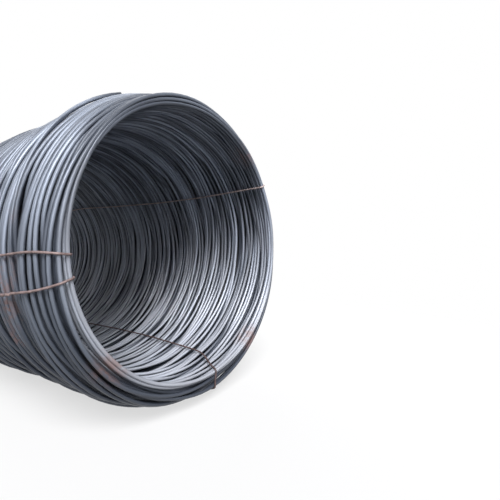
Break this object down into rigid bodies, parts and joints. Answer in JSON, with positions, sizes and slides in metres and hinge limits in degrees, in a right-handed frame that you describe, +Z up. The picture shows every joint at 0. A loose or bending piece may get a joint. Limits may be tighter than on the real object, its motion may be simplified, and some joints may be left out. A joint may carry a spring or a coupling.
{
  "type": "coil of wire rod",
  "caption": "Coil of hot-rolled steel wire rod lying on its side: a thick wall of loose turns round an open bore, held by twisted tie wires that run through the bore and back outside.",
  "frame": {"origin": "on the floor, under the middle of the coil", "axes": "+Y along the bore, away from the front opening; +Z up from the floor that the coil lies on; +X to the right seen from the front"},
  "size_m": [1.0204, 1.6526, 1.014],
  "materials": {
    "mill_scale_rod": "blue-grey mill scale, semi-gloss",
    "rusty_tie": "thin brown rust, matt"
  },
  "bodies": {
    "root": {"rod_windings": "mill_scale_rod", "tie_wire_right": "rusty_tie", "tie_wire_bottom": "rusty_tie", "tie_wire_left_upper": "rusty_tie", "tie_wire_left_lower": "rusty_tie"}
  },
  "joints": []
}
